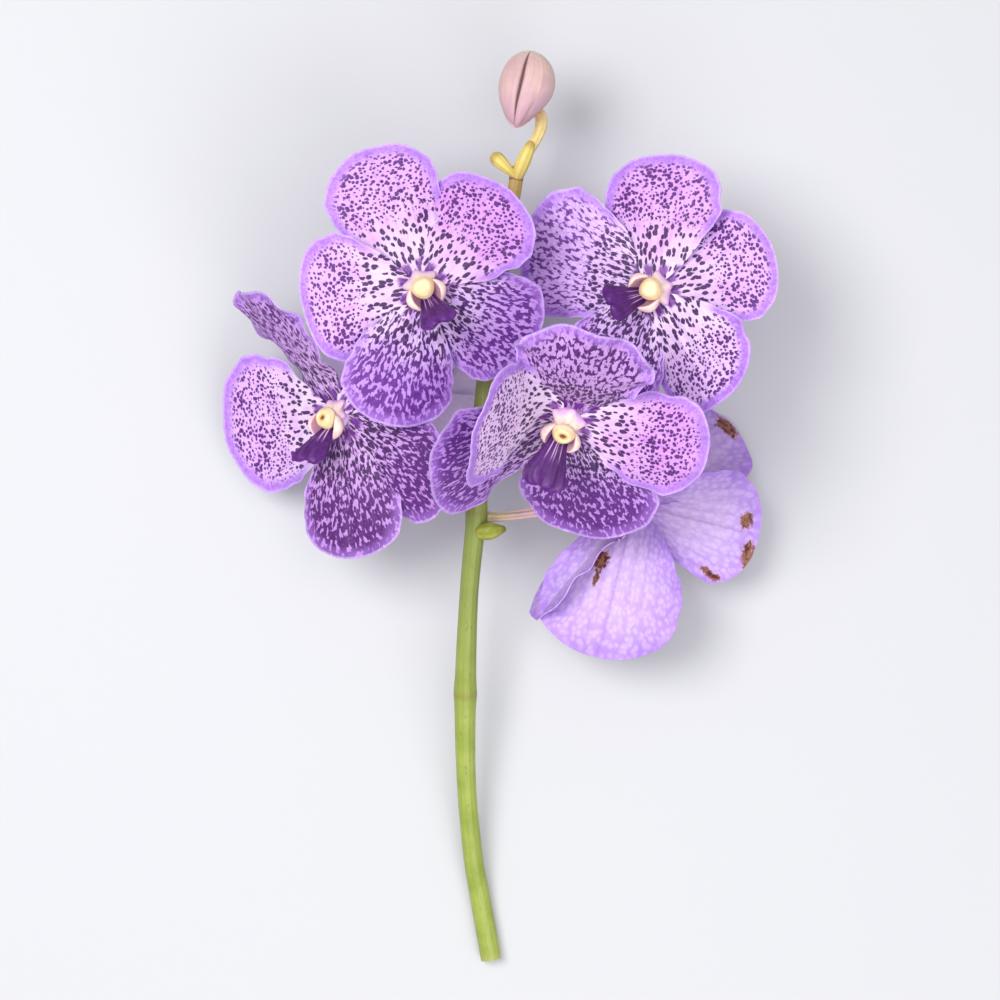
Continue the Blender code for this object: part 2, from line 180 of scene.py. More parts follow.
STEM_LINE = [
    (1.4, -8.0, 3.864, 4.0), (-0.7, 4.0, 3.864, 4.0), (-2.0, 11.0, 3.864, 4.0), (-3.6, 20.0, 5.2, 3.9),
    (-5.8, 34.0, 9.4, 3.8), (-8.2, 63.0, 18.0, 3.7), (-8.5, 98.0, 27.0, 4.1),
    (-7.0, 136.0, 35.0, 3.6), (-4.0, 168.0, 41.0, 3.8), (-2.2, 200.0, 44.0, 3.5),
    (0.8, 230.0, 45.0, 3.3), (6.1, 265.0, 45.0, 3.0), (10.2, 289.0, 44.5, 2.6),
    (11.4, 298.0, 44.0, 2.9)]
STEM_NODES = (98.0, 168.0, 199.0, 232.0, 262.0, 296.5)

BUD_CENTRE = (14.6, 327.5, 50.0)
BUD_LENGTH = 29.5
BUD_WIDTH = 21.5
BUD_DEPTH = 20.0
BUD_TILT = 10.0
BUD_CLEFT = 4.50


def srgb(red, green, blue):
    """Turn a colour as seen on a screen, 0 to 255, into linear light."""
    return tuple(c / 12.92 if c <= 0.04045 else ((c + 0.055) / 1.055) ** 2.4
                 for c in (red / 255.0, green / 255.0, blue / 255.0)) + (1.0,)


class Paint:
    """A procedural material, built one short step at a time."""

    def __init__(self, name, roughness=0.45, specular=0.35, subsurface=0.0):
        self.material = bpy.data.materials.new(name)
        self.material.use_nodes = True
        self.tree = self.material.node_tree
        self.shader = self.tree.nodes["Principled BSDF"]
        self.shader.inputs["Roughness"].default_value = roughness
        self.shader.inputs["Specular IOR Level"].default_value = specular
        if subsurface:
            self.shader.inputs["Subsurface Weight"].default_value = subsurface
            self.shader.inputs["Subsurface Radius"].default_value = (1.0, 0.6, 0.9)
            self.shader.inputs["Subsurface Scale"].default_value = 0.0015

    def put(self, socket, value):
        if hasattr(value, "links"):
            self.tree.links.new(value, socket)
        else:
            socket.default_value = value

    def attribute(self, name):
        node = self.tree.nodes.new("ShaderNodeAttribute")
        node.attribute_name = name
        return node.outputs["Vector"]

    def place(self):
        return self.tree.nodes.new("ShaderNodeTexCoord").outputs["Object"]

    def split(self, vector):
        node = self.tree.nodes.new("ShaderNodeSeparateXYZ")
        self.put(node.inputs[0], vector)
        return node.outputs

    def join(self, x, y, z=0.0):
        node = self.tree.nodes.new("ShaderNodeCombineXYZ")
        for socket, value in zip(node.inputs, (x, y, z)):
            self.put(socket, value)
        return node.outputs[0]

    def math(self, operation, a, b=0.0, c=0.0, clamp=False):
        node = self.tree.nodes.new("ShaderNodeMath")
        node.operation = operation
        node.use_clamp = clamp
        for socket, value in zip(node.inputs, (a, b, c)):
            self.put(socket, value)
        return node.outputs[0]

    def add(self, a, b):
        return self.math("ADD", a, b)

    def times(self, a, b):
        return self.math("MULTIPLY", a, b)

    def step(self, value, low, high, start=0.0, end=1.0):
        """Rise softly from start to end while the value goes from low to high."""
        node = self.tree.nodes.new("ShaderNodeMapRange")
        node.interpolation_type = "SMOOTHSTEP"
        for socket, number in zip(node.inputs, (value, low, high, start, end)):
            self.put(socket, number)
        return node.outputs["Result"]

    def noise(self, vector, scale, detail=2.0, roughness=0.5):
        node = self.tree.nodes.new("ShaderNodeTexNoise")
        self.put(node.inputs["Vector"], vector)
        node.inputs["Scale"].default_value = scale
        node.inputs["Detail"].default_value = detail
        node.inputs["Roughness"].default_value = roughness
        return node.outputs

    def cells(self, vector, scale=1.0, feature="F1"):
        node = self.tree.nodes.new("ShaderNodeTexVoronoi")
        node.voronoi_dimensions = "2D"
        node.feature = feature
        self.put(node.inputs["Vector"], vector)
        node.inputs["Scale"].default_value = scale
        return node.outputs

    def mix(self, factor, a, b):
        node = self.tree.nodes.new("ShaderNodeMix")
        node.data_type = "RGBA"
        self.put(node.inputs[0], factor)
        self.put(node.inputs[6], a)
        self.put(node.inputs[7], b)
        return node.outputs[2]

    def colour(self, value):
        self.put(self.shader.inputs["Base Color"], value)

    def bump(self, height, distance, strength=1.0):
        node = self.tree.nodes.new("ShaderNodeBump")
        node.inputs["Strength"].default_value = strength
        node.inputs["Distance"].default_value = distance
        self.put(node.inputs["Height"], height)
        self.put(self.shader.inputs["Normal"], node.outputs[0])


def shaken(paint, vector, scale, amount):
    """Push a pattern's place about with noise, so that its shapes grow uneven."""
    cloud = paint.noise(vector, scale, 2.0)["Color"]
    node = paint.tree.nodes.new("ShaderNodeVectorMath")
    node.operation = "MULTIPLY_ADD"
    paint.put(node.inputs[0], cloud)
    node.inputs[1].default_value = (amount, amount, 0.0)
    paint.put(node.inputs[2], vector)
    return node.outputs[0]


def blade_inputs(paint):
    """Across, along and depth of a blade, its distance from the middle, and its places in mm."""
    across, along, depth = paint.split(paint.attribute("blade_place"))
    x, y, seed = paint.split(paint.attribute("blade_mm"))
    centred = paint.math("MULTIPLY_ADD", along, 2.0, -1.0)
    ring = paint.math("SQRT", paint.add(paint.times(across, across), paint.times(centred, centred)))
    return across, along, depth, ring, x, y, seed


def spots_layer(paint, x, y, seed, along, shrink_x, shrink_y, warp):
    """Cells whose size falls outwards; returns the distance to a spot's middle and its chance number."""
    px = paint.add(paint.times(x, paint.math("MULTIPLY_ADD", along, shrink_x[1], shrink_x[0])), paint.times(seed, 7.3))
    py = paint.add(paint.times(y, paint.math("MULTIPLY_ADD", along, shrink_y[1], shrink_y[0])), paint.times(seed, 3.1))
    cell = paint.cells(shaken(paint, paint.join(px, py), 1.3, warp))
    chance = paint.split(cell["Color"])[0]
    return cell["Distance"], chance


def petal_front():
    paint = Paint("petal_front", 0.5, 0.3, 0.05)
    across, along, depth, ring, x, y, seed = blade_inputs(paint)
    blush_and_painted_lift = paint.split(paint.attribute("blade_scar_blush_and_painted_lift"))[1]
    flat = paint.join(x, y, seed)
    cloud = paint.noise(flat, 0.11, 2.0)["Fac"]
    grain = paint.noise(flat, 0.9, 3.0, 0.6)["Fac"]
    wander = paint.math("SUBTRACT", grain, 0.5)
    # Ground: palest by the middle and lilac outside, with a rosier cloud here and there.
    reach = paint.add(along, paint.times(paint.math("SUBTRACT", cloud, 0.5), 0.5))
    ground = paint.mix(paint.step(reach, 0.05, 0.70), srgb(242, 216, 246), srgb(224, 176, 240))
    rosy = paint.add(paint.times(paint.step(cloud, 0.45, 0.7), 0.3), paint.times(blush_and_painted_lift, paint.step(along, 0.1, 0.6, 0.15, 0.6)))
    ground = paint.mix(rosy, ground, srgb(210, 138, 226))
    ground = paint.mix(paint.step(depth, -0.6, 0.0, 0.8, 0.0), ground, srgb(250, 230, 250))
    # Dark spots: long cells near the middle, smaller ones outside that run together in patches.
    # They shrink to nothing at the margin.
    uneven = paint.add(ring, paint.times(wander, 0.14))
    outside = paint.times(paint.step(uneven, 0.84, 0.95, 0.0, 0.55), paint.step(along, 0.25, 0.34))
    distance, chance = spots_layer(paint, x, y, seed, along, (0.30, 0.22), (0.19, 0.16), 0.60)
    size = paint.math("MULTIPLY_ADD", chance, 0.24, paint.step(along, 0.40, 0.62, 0.21, -0.35))
    size = paint.math("SUBTRACT", size, outside)
    large = paint.step(paint.math("SUBTRACT", distance, size), -0.05, 0.05, 1.0, 0.0)
    distance, chance = spots_layer(paint, x, y, paint.add(seed, 0.5), along, (0.56, 0.14), (0.43, 0.16), 0.62)
    patch = paint.times(paint.step(paint.noise(flat, 0.12, 1.0)["Fac"], 0.46, 0.62), paint.step(along, 0.4, 0.7))
    size = paint.add(paint.math("MULTIPLY_ADD", chance, 0.26, 0.17), paint.times(patch, 0.15))
    size = paint.add(size, paint.step(along, 0.34, 0.56, -0.45, 0.0))
    size = paint.math("SUBTRACT", size, outside)
    small = paint.step(paint.math("SUBTRACT", distance, size), -0.06, 0.06, 1.0, 0.0)
    spot = paint.math("MAXIMUM", large, small)
    dark = paint.mix(paint.step(along, 0.30, 0.80), srgb(50, 12, 62), srgb(80, 24, 108))
    spotted = paint.mix(paint.times(spot, 0.97), ground, dark)
    # Deep blades: dark streaks that close up outwards until pale flecks alone are left.
    px = paint.add(paint.times(x, 0.80), paint.times(seed, 7.3))
    streak = paint.noise(shaken(paint, paint.join(px, paint.times(y, 0.36), seed), 1.6, 0.5), 1.0, 1.5, 0.5)["Fac"]
    limit = paint.math("MULTIPLY_ADD", paint.times(depth, paint.step(reach, 0.15, 0.85)), 0.120, 0.405)
    limit = paint.add(limit, paint.times(depth, 0.045))
    pale = paint.step(paint.math("SUBTRACT", streak, limit), -0.03, 0.035)
    deep = paint.mix(paint.step(along, 0.20, 0.70), srgb(62, 16, 78), srgb(108, 46, 146))
    deep = paint.mix(paint.step(grain, 0.42, 0.62, 0.0, 0.6), deep, srgb(86, 32, 120))
    deep = paint.mix(paint.times(blush_and_painted_lift, 0.85), deep, srgb(76, 24, 92))
    light = paint.mix(paint.step(along, 0.10, 0.75), srgb(240, 212, 246), srgb(196, 148, 228))
    light = paint.mix(paint.step(cloud, 0.40, 0.65, 0.0, 0.5), light, srgb(186, 128, 220))
    light = paint.mix(paint.step(depth, 0.4, 0.8, 0.7, 0.0), light, srgb(230, 194, 246))
    light = paint.mix(paint.times(blush_and_painted_lift, 0.6), light, srgb(184, 132, 200))
    streaked = paint.mix(pale, deep, light)
    streaked = paint.mix(paint.times(large, 0.95), streaked, dark)
    tint = paint.mix(paint.step(depth, 0.3, 0.4), spotted, streaked)
    # Margin without spots, then a thin pale rim.
    edge = paint.times(paint.step(uneven, 0.79, 0.94), paint.step(along, 0.28, 0.45))
    edge = paint.times(edge, paint.math("MULTIPLY_ADD", depth, -0.60, 1.0))
    margin = paint.mix(paint.step(grain, 0.38, 0.62), srgb(186, 135, 230), srgb(172, 117, 219))
    tint = paint.mix(edge, tint, margin)
    # Dark bars round the column.
    bars = paint.math("PINGPONG", paint.add(paint.math("MULTIPLY_ADD", across, 2.1, 0.0), paint.times(wander, 0.25)), 0.5)
    near = paint.add(along, paint.times(wander, 0.05))
    bars = paint.times(paint.step(bars, 0.14, 0.30), paint.step(near, 0.05, 0.085))
    bars = paint.times(bars, paint.step(near, 0.13, 0.175, 1.0, 0.0))
    tint = paint.mix(paint.times(bars, 0.9), tint, srgb(112, 46, 142))
    tint = paint.mix(paint.step(along, 0.0, 0.07, 0.8, 0.0), tint, srgb(240, 206, 236))
    rim = paint.times(paint.step(ring, 0.955, 0.985), paint.step(along, 0.2, 0.35))
    tint = paint.mix(paint.times(rim, 0.5), tint, srgb(222, 192, 248))
    # Fine cells and veins.
    fine = paint.cells(paint.join(paint.times(x, 1.6), paint.times(y, 1.1)))["Distance"]
    veins = paint.math("SINE", paint.add(paint.times(across, 46.0), paint.times(grain, 3.0)))
    tint = paint.mix(paint.step(fine, 0.2, 0.7, 0.0, 0.14), tint, srgb(130, 84, 170))
    tint = paint.mix(paint.step(veins, 0.3, 1.0, 0.0, 0.10), tint, srgb(120, 70, 160))
    paint.colour(tint)
    height = paint.add(paint.times(veins, 0.30), paint.times(fine, -0.8))
    height = paint.add(height, paint.times(grain, 1.4))
    paint.bump(paint.add(height, paint.times(spot, -0.4)), 0.00022, 0.6)
    return paint.material


def petal_back():
    paint = Paint("petal_back", 0.5, 0.3, 0.08)
    across, along, depth, ring, x, y, seed = blade_inputs(paint)
    flat = paint.join(x, y, seed)
    grain = paint.noise(flat, 0.5, 3.0, 0.6)["Fac"]
    cloud = paint.noise(flat, 0.09, 2.0)["Fac"]
    tint = paint.mix(paint.step(ring, 0.35, 1.0), srgb(204, 174, 226), srgb(172, 132, 218))
    tint = paint.mix(paint.step(cloud, 0.45, 0.7, 0.0, 0.5), tint, srgb(196, 158, 230))
    blotch = paint.cells(shaken(paint, paint.join(paint.times(x, 0.50), paint.times(y, 0.36)), 1.0, 0.9))
    tint = paint.mix(paint.step(blotch["Distance"], 0.62, 0.15, 0.0, 0.34), tint, srgb(232, 212, 244))
    veins = paint.math("SINE", paint.add(paint.times(across, 30.0), paint.times(grain, 4.0)))
    tint = paint.mix(paint.step(veins, 0.55, 1.0, 0.0, 0.22), tint, srgb(170, 120, 206))
    midrib = paint.step(paint.math("ABSOLUTE", across), 0.0, 0.035, 1.0, 0.0)
    tint = paint.mix(paint.times(midrib, 0.3), tint, srgb(168, 118, 190))
    tint = paint.mix(paint.times(paint.step(ring, 0.86, 0.99), 0.45), tint, srgb(178, 132, 230))
    scar, blush_and_painted_lift, _ = paint.split(paint.attribute("blade_scar_blush_and_painted_lift"))
    # Painted light: below 0 the back is painted paler, as if lit where it lies in shade.
    tint = paint.mix(paint.step(blush_and_painted_lift, -1.0, -0.2, 0.75, 0.0), tint, srgb(250, 240, 252))
    rough = paint.noise(flat, 0.8, 3.0, 0.7)["Fac"]
    scar = paint.add(scar, paint.times(paint.math("SUBTRACT", rough, 0.5), 1.9))
    tint = paint.mix(paint.step(scar, 0.30, 0.55, 0.0, 0.5), tint, srgb(196, 150, 150))
    burnt = paint.step(scar, 0.50, 0.60)
    brown = paint.mix(paint.step(grain, 0.42, 0.58), srgb(92, 44, 46), srgb(150, 98, 76))
    tint = paint.mix(burnt, tint, brown)
    paint.colour(tint)
    height = paint.add(paint.times(veins, 0.35), paint.times(grain, 1.2))
    paint.bump(paint.add(height, paint.times(blotch["Distance"], -0.5)), 0.00022, 0.5)
    return paint.material


def mottled(name, colours, scale, roughness, specular=0.35, subsurface=0.1, grain=0.0002, fine=1.0):
    """Start of a plain skin: two colours in soft clouds and a fine grain in the relief."""
    paint = Paint(name, roughness, specular, subsurface)
    place = paint.place()
    cloud = paint.noise(place, scale, 3.0, 0.55)["Fac"]
    tint = paint.mix(paint.step(cloud, 0.35, 0.65), srgb(*colours[0]), srgb(*colours[1]))
    height = paint.noise(place, scale * 9.0 * fine, 3.0, 0.6)["Fac"]
    paint.bump(height, grain, 0.6)
    return paint, place, tint, height


def around_angle(paint):
    """Angle round a skin, and the share of the way along it."""
    x, y, along = paint.split(paint.attribute("skin_place"))
    return paint.math("ARCTAN2", y, x), along


def lip_skin():
    paint, place, tint, height = mottled("lip_skin", ((74, 20, 94), (94, 34, 122)), 260.0, 0.38, 0.4, 0.03)
    across, top, along = paint.split(paint.attribute("skin_place"))
    lines = paint.math("SINE", paint.add(paint.times(across, 26.0), paint.times(height, 6.0)))
    lines = paint.times(lines, paint.step(along, 0.60, 0.95, 1.0, 0.0))
    tint = paint.mix(paint.step(lines, 0.0, 1.0, 0.0, 0.4), tint, srgb(50, 12, 66))
    keel = paint.math("SINE", paint.add(paint.times(paint.math("ABSOLUTE", across), 17.0), 0.2))
    keel = paint.times(paint.step(keel, 0.70, 0.95), paint.step(along, 0.30, 0.55, 1.0, 0.0))
    keel = paint.times(keel, paint.step(paint.math("ABSOLUTE", across), 0.5, 0.7, 1.0, 0.0))
    tint = paint.mix(paint.times(keel, 0.95), tint, srgb(226, 190, 226))
    tint = paint.mix(paint.step(along, 0.7, 1.0, 0.0, 0.3), tint, srgb(112, 50, 150))
    paint.colour(tint)
    paint.bump(paint.add(paint.times(lines, 0.6), height), 0.0003, 0.5)
    return paint.material


def column_skin():
    paint, place, tint, height = mottled("column_skin", ((236, 204, 226), (228, 188, 220)), 330.0, 0.45)
    across, top, along = paint.split(paint.attribute("skin_place"))
    tint = paint.mix(paint.step(along, 0.34, 0.52, 0.95, 0.0), tint, srgb(242, 214, 190))
    tint = paint.mix(paint.step(along, 0.42, 0.56, 0.0, 0.85), tint, srgb(222, 172, 222))
    crest = paint.times(paint.step(paint.math("ABSOLUTE", top), 0.0, 0.14, 1.0, 0.0), paint.step(along, 0.5, 0.3))
    tint = paint.mix(paint.times(crest, 0.5), tint, srgb(248, 226, 240))
    tint = paint.mix(paint.step(paint.noise(place, 900.0)["Fac"], 0.60, 0.72, 0.0, 0.4), tint, srgb(190, 120, 190))
    paint.colour(tint)
    return paint.material


def cap_skin():
    paint, place, tint, height = mottled("cap_skin", ((248, 226, 186), (244, 214, 160)), 420.0, 0.35, 0.45)
    across, top, along = paint.split(paint.attribute("skin_place"))
    ring = paint.times(paint.step(along, 0.24, 0.30), paint.step(along, 0.33, 0.40, 1.0, 0.0))
    tint = paint.mix(paint.times(ring, 0.35), tint, srgb(212, 164, 104))
    tint = paint.mix(paint.step(along, 0.42, 0.70, 0.0, 0.9), tint, srgb(246, 216, 222))
    # Painted shade in the hollow: amber, then dark brown towards its deepest part.
    hollow = paint.split(paint.attribute("skin_hollow"))[0]
    rough = paint.add(hollow, paint.times(paint.math("SUBTRACT", height, 0.5), 0.5))
    tint = paint.mix(paint.step(rough, 0.20, 0.55, 0.0, 0.8), tint, srgb(232, 172, 84))
    tint = paint.mix(paint.step(rough, 0.58, 0.80, 0.0, 0.92), tint, srgb(110, 52, 36))
    paint.colour(tint)
    return paint.material


def ear_skin():
    paint, place, tint, height = mottled("ear_skin", ((250, 226, 206), (244, 206, 200)), 300.0, 0.42)
    across, top, along = paint.split(paint.attribute("skin_place"))
    inner = paint.split(paint.attribute("skin_hollow"))[0]
    tint = paint.mix(paint.step(inner, 0.1, 0.7, 0.0, 0.8), tint, srgb(186, 124, 166))
    tint = paint.mix(paint.step(paint.noise(place, 800.0)["Fac"], 0.58, 0.72, 0.0, 0.35), tint, srgb(196, 132, 180))
    paint.colour(tint)
    return paint.material


def stalk_skin():
    paint, place, tint, height = mottled("stalk_skin", ((214, 176, 182), (196, 150, 176)), 150.0, 0.45)
    angle, along = around_angle(paint)
    ribs = paint.math("SINE", paint.add(paint.times(angle, 6.0), paint.times(along, 5.0)))
    tint = paint.mix(paint.step(along, 0.0, 0.35, 0.75, 0.0), tint, srgb(188, 182, 116))
    tint = paint.mix(paint.step(along, 0.7, 1.0, 0.0, 0.8), tint, srgb(222, 196, 236))
    tint = paint.mix(paint.step(ribs, -1.0, 0.2, 0.35, 0.0), tint, srgb(160, 104, 132))
    paint.colour(tint)
    paint.bump(paint.add(paint.times(ribs, 0.8), height), 0.0003, 0.6)
    return paint.material


def stem_share(reach):
    """Share of the way along the stem's line at a distance along +Y."""
    marks = [point[1] for point in STEM_LINE]
    return float(np.interp(reach, marks, np.linspace(0.0, 1.0, len(marks))))


def stem_skin():
    paint, place, tint, height = mottled("stem_skin", ((142, 157, 62), (160, 173, 80)), 90.0, 0.42, 0.4, 0.06)
    angle, along = around_angle(paint)
    upper = paint.step(along, 0.42, 0.56)
    tint = paint.mix(paint.times(upper, 0.75), tint, srgb(128, 138, 70))
    tint = paint.mix(paint.step(along, 0.84, 0.93), tint, srgb(184, 152, 88))
    long = paint.noise(paint.join(paint.times(angle, 3.0), paint.times(along, 14.0)), 1.6, 3.0, 0.6)["Fac"]
    tint = paint.mix(paint.step(long, 0.50, 0.72, 0.0, 0.45), tint, srgb(128, 142, 60))
    ribs = paint.math("SINE", paint.times(angle, 12.0))
    tint = paint.mix(paint.step(ribs, 0.0, 1.0, 0.0, 0.10), tint, srgb(120, 132, 56))
    speck = paint.cells(paint.join(paint.times(angle, 2.6), paint.times(along, 95.0)), 1.0)
    few = paint.step(paint.split(speck["Color"])[0], 0.86, 0.90)
    speck = paint.times(paint.step(speck["Distance"], 0.10, 0.20, 1.0, 0.0), few)
    tint = paint.mix(paint.times(speck, 0.6), tint, srgb(132, 100, 52))
    for node in STEM_NODES:
        far = paint.math("ABSOLUTE", paint.math("SUBTRACT", along, stem_share(node)))
        tint = paint.mix(paint.step(far, 0.0, 0.006, 0.45, 0.0), tint, srgb(134, 118, 60))
    tint = paint.mix(paint.step(along, 0.010, 0.018, 0.5, 0.0), tint, srgb(176, 170, 110))
    far = paint.math("ABSOLUTE", paint.math("SUBTRACT", along, stem_share(293.0)))
    tint = paint.mix(paint.step(far, 0.003, 0.010, 0.85, 0.0), tint, srgb(120, 58, 42))
    paint.colour(tint)
    paint.bump(paint.add(paint.times(ribs, 0.25), paint.add(height, paint.times(long, 0.8))), 0.0002, 0.5)
    return paint.material


def scale_skin(name, colours, tip):
    paint, place, tint, height = mottled(name, colours, 240.0, 0.42)
    angle, along = around_angle(paint)
    veins = paint.math("SINE", paint.times(angle, 9.0))
    tint = paint.mix(paint.step(veins, 0.2, 1.0, 0.0, 0.25), tint, srgb(*tip))
    tint = paint.mix(paint.step(along, 0.80, 1.0, 0.0, 0.8), tint, srgb(*tip))
    paint.colour(tint)
    paint.bump(paint.add(paint.times(veins, 0.5), height), 0.00025, 0.5)
    return paint.material


def bud_skin():
    paint, place, tint, height = mottled("bud_skin", ((214, 180, 172), (202, 166, 168)), 85.0, 0.45, 0.35, 0.12)
    angle, along = around_angle(paint)
    veins = paint.noise(paint.join(paint.times(angle, 7.0), paint.times(along, 2.2)), 1.5, 2.0)["Fac"]
    tint = paint.mix(paint.step(veins, 0.48, 0.72, 0.0, 0.55), tint, srgb(200, 156, 170))
    tint = paint.mix(paint.step(along, 0.0, 0.35, 0.6, 0.0), tint, srgb(238, 216, 190))
    tint = paint.mix(paint.step(along, 0.75, 1.0, 0.0, 0.5), tint, srgb(226, 186, 170))
    tint = paint.mix(paint.times(paint.step(along, 0.45, 0.85), paint.step(veins, 0.35, 0.6, 0.3, 0.8)), tint, srgb(202, 156, 180))
    cleft = paint.split(paint.attribute("skin_hollow"))[0]
    # Painted shade in the cleft and along the edges of the overlaps.
    tint = paint.mix(paint.step(cleft, 0.25, 0.8, 0.0, 0.85), tint, srgb(96, 62, 70))
    paint.colour(tint)
    paint.bump(paint.add(paint.times(veins, 1.2), height), 0.0003, 0.5)
    return paint.material


def finish_mesh(mesh, angle=50.0):
    """Shade smooth, but keep the edges that are sharper than the angle."""
    mesh.shade_smooth()
    mesh.set_sharp_from_angle(angle=math.radians(angle))


def shell(rings, places, slot=0, hollow=None):
    """A closed skin over rings of points in mm, its seam and tips welded."""
    bm = bmesh.new()
    bmesh.ops.create_grid(bm, x_segments=rings.shape[1] - 1, y_segments=rings.shape[0] - 1, size=1.0)
    layer = bm.verts.layers.float_vector.new("skin_place")
    deep = bm.verts.layers.float_vector.new("skin_hollow")
    hollow = np.zeros(rings.shape[0] * rings.shape[1]) if hollow is None else hollow.ravel()
    for vert, point, place, depth in zip(bm.verts, to_origin(rings.reshape(-1, 3)), places.reshape(-1, 3), hollow):
        vert.co = point
        vert[layer] = place
        vert[deep] = (depth, 0.0, 0.0)
    bmesh.ops.remove_doubles(bm, verts=bm.verts[:], dist=0.000002)
    bmesh.ops.recalc_face_normals(bm, faces=bm.faces[:])
    for face in bm.faces:
        face.material_index = slot
    mesh = bpy.data.meshes.new("shell")
    bm.to_mesh(mesh)
    bm.free()
    return mesh


def join_shells(name, shells):
    bm = bmesh.new()
    for mesh in shells:
        bm.from_mesh(mesh)
        bpy.data.meshes.remove(mesh)
    whole = bpy.data.meshes.new(name)
    bm.to_mesh(whole)
    bm.free()
    finish_mesh(whole)
    return whole


def smooth_line(points, steps):
    """Run a smooth line through points that hold a place and a radius."""
    points = np.array(points)
    line = []
    for index in range(len(points) - 1):
        a, b, c, d = (points[min(max(index + shift, 0), len(points) - 1)] for shift in (-1, 0, 1, 2))
        for t in np.arange(steps) / steps:
            line.append(0.5 * (2.0 * b + (c - a) * t + (2.0 * a - 5.0 * b + 4.0 * c - d) * t * t
                               + (3.0 * b - a - 3.0 * c + d) * t ** 3))
    line.append(points[-1])
    return np.array(line)


def tube(line, sides, swell=None, slot=0, ends=(0.0, 0.0)):
    """Skin round a line of places and radii, its ends flat or rounded."""
    middles = line[:, :3]
    ahead = np.gradient(middles, axis=0)
    ahead /= np.linalg.norm(ahead, axis=1)[:, None]
    side = np.cross(ahead, (0.0, 0.0, 1.0))
    steep = np.linalg.norm(side, axis=1) < 0.2
    side[steep] = np.cross(ahead[steep], (1.0, 0.0, 0.0))
    side /= np.linalg.norm(side, axis=1)[:, None]
    over = np.cross(side, ahead)
    turn = np.linspace(0.0, 2.0 * math.pi, sides + 1)[None, :]
    along = np.linspace(0.0, 1.0, len(line))[:, None]
    radius = line[:, 3:] * (1.0 + (swell(turn, along) if swell else 0.0 * turn))
    spokes = np.sin(turn)[..., None] * side[:, None] - np.cos(turn)[..., None] * over[:, None]
    rings = middles[:, None] + radius[..., None] * spokes
    places = np.stack(np.broadcast_arrays(np.cos(turn), np.sin(turn), along), axis=2)
    start = []
    end = []
    for step in range(1, 6):
        angle = math.pi / 2.0 * step / 5.0
        shrink = math.cos(angle) if step < 5 else 0.0
        for row, ends_list, sign in ((0, start, -1.0), (-1, end, 1.0)):
            push = sign * ends[row] * line[row, 3] * math.sin(angle) * ahead[row]
            ends_list.append(middles[row] + (rings[row] - middles[row]) * shrink + push)
    rings = np.concatenate((np.array(start[::-1]), rings, np.array(end)))
    places = np.concatenate((np.repeat(places[:1], 5, axis=0), places, np.repeat(places[-1:], 5, axis=0)))
    return shell(rings, places, slot)


def ball(axes, centre, radii, shape=None, slot=0, sides=32, rows=20, hollow=None):
    """A rounded lump in a bloom's own frame, bent by a rule on its unit sphere."""
    fall = np.linspace(0.0, math.pi, rows + 1)[:, None]
    turn = np.linspace(0.0, 2.0 * math.pi, sides + 1)[None, :]
    x = np.sin(fall) * np.cos(turn)
    y = np.sin(fall) * np.sin(turn)
    z = np.broadcast_to(np.cos(fall), x.shape)
    points = np.stack((x, y, z), axis=2)
    bent = shape(x, y, z) if shape else points
    rings = (np.array(centre) + bent * np.array(radii)).reshape(-1, 3)
    rings = in_bloom(rings, axes).reshape(points.shape)
    places = np.stack((np.broadcast_to(np.hypot(y, z), x.shape), x, np.broadcast_to(fall / math.pi, x.shape)), axis=2)
    return shell(rings, places, slot, hollow(x, y, z) if hollow else None)


def add_piece(name, mesh, node, materials):
    places = np.empty(len(mesh.vertices) * 3)
    mesh.vertices.foreach_get("co", places)
    low, high = (np.array(corner) for corner in CAD_BOX)
    mesh.vertices.foreach_set("co", np.clip(places.reshape(-1, 3), np.maximum(low, (-9.0, -9.0, 0.0)), high).ravel())
    item = bpy.data.objects.new(name, mesh)
    bpy.context.scene.collection.objects.link(item)
    if not mesh.materials:
        for material in materials:
            mesh.materials.append(material)
    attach(item, "root")
    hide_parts(node)
    return item


def smooth_step(value):
    value = np.clip(value, 0.0, 1.0)
    return value * value * (3.0 - 2.0 * value)


def unit(vector):
    return vector / np.linalg.norm(vector)


def bloom_axes(bloom):
    forward = unit(np.array(bloom["faces"]))
    angle = math.radians(bloom["top"])
    up = np.array((math.cos(angle), math.sin(angle), 0.0))
    up = unit(up - up.dot(forward) * forward)
    return np.array(bloom["centre"]), np.cross(up, forward), up, forward


def in_bloom(points, axes):
    centre, right, up, forward = axes
    return centre + points[:, :1] * right + points[:, 1:2] * up + points[:, 2:3] * forward


def to_origin(points):
    return (points - FOOTPRINT_MIDDLE) * MM


def width_scale(claw):
    along = np.arange(1, 200) / 200.0
    return (np.sqrt(1.0 - (2.0 * along - 1.0) ** 2) * (claw + BLADE_SWELL * along ** 0.8)).max()


